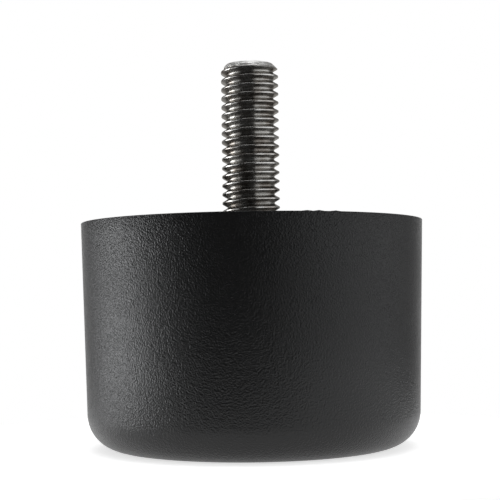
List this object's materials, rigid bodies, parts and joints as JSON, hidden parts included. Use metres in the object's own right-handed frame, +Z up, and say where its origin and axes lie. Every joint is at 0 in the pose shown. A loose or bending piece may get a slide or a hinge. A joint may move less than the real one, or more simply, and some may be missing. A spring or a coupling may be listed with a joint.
{
  "type": "sofa foot",
  "caption": "Low round moulded plastic furniture foot with a steel threaded stud standing up from its centre, for screwing into a sofa frame.",
  "frame": {"origin": "centre of the flat base, on the surface that the foot stands on", "axes": "+Z up along the stud, from the base towards the seat frame; one rib of the hollow top lies along +X"},
  "size_m": [0.058, 0.058, 0.0653],
  "materials": {
    "body_plastic": "black, with a fine moulded grain outside",
    "bolt_steel": "plain rolled thread, slightly dull, with a rough cropped tip"
  },
  "bodies": {
    "root": {"foot_body": "body_plastic", "mounting_bolt": "bolt_steel"}
  },
  "joints": []
}
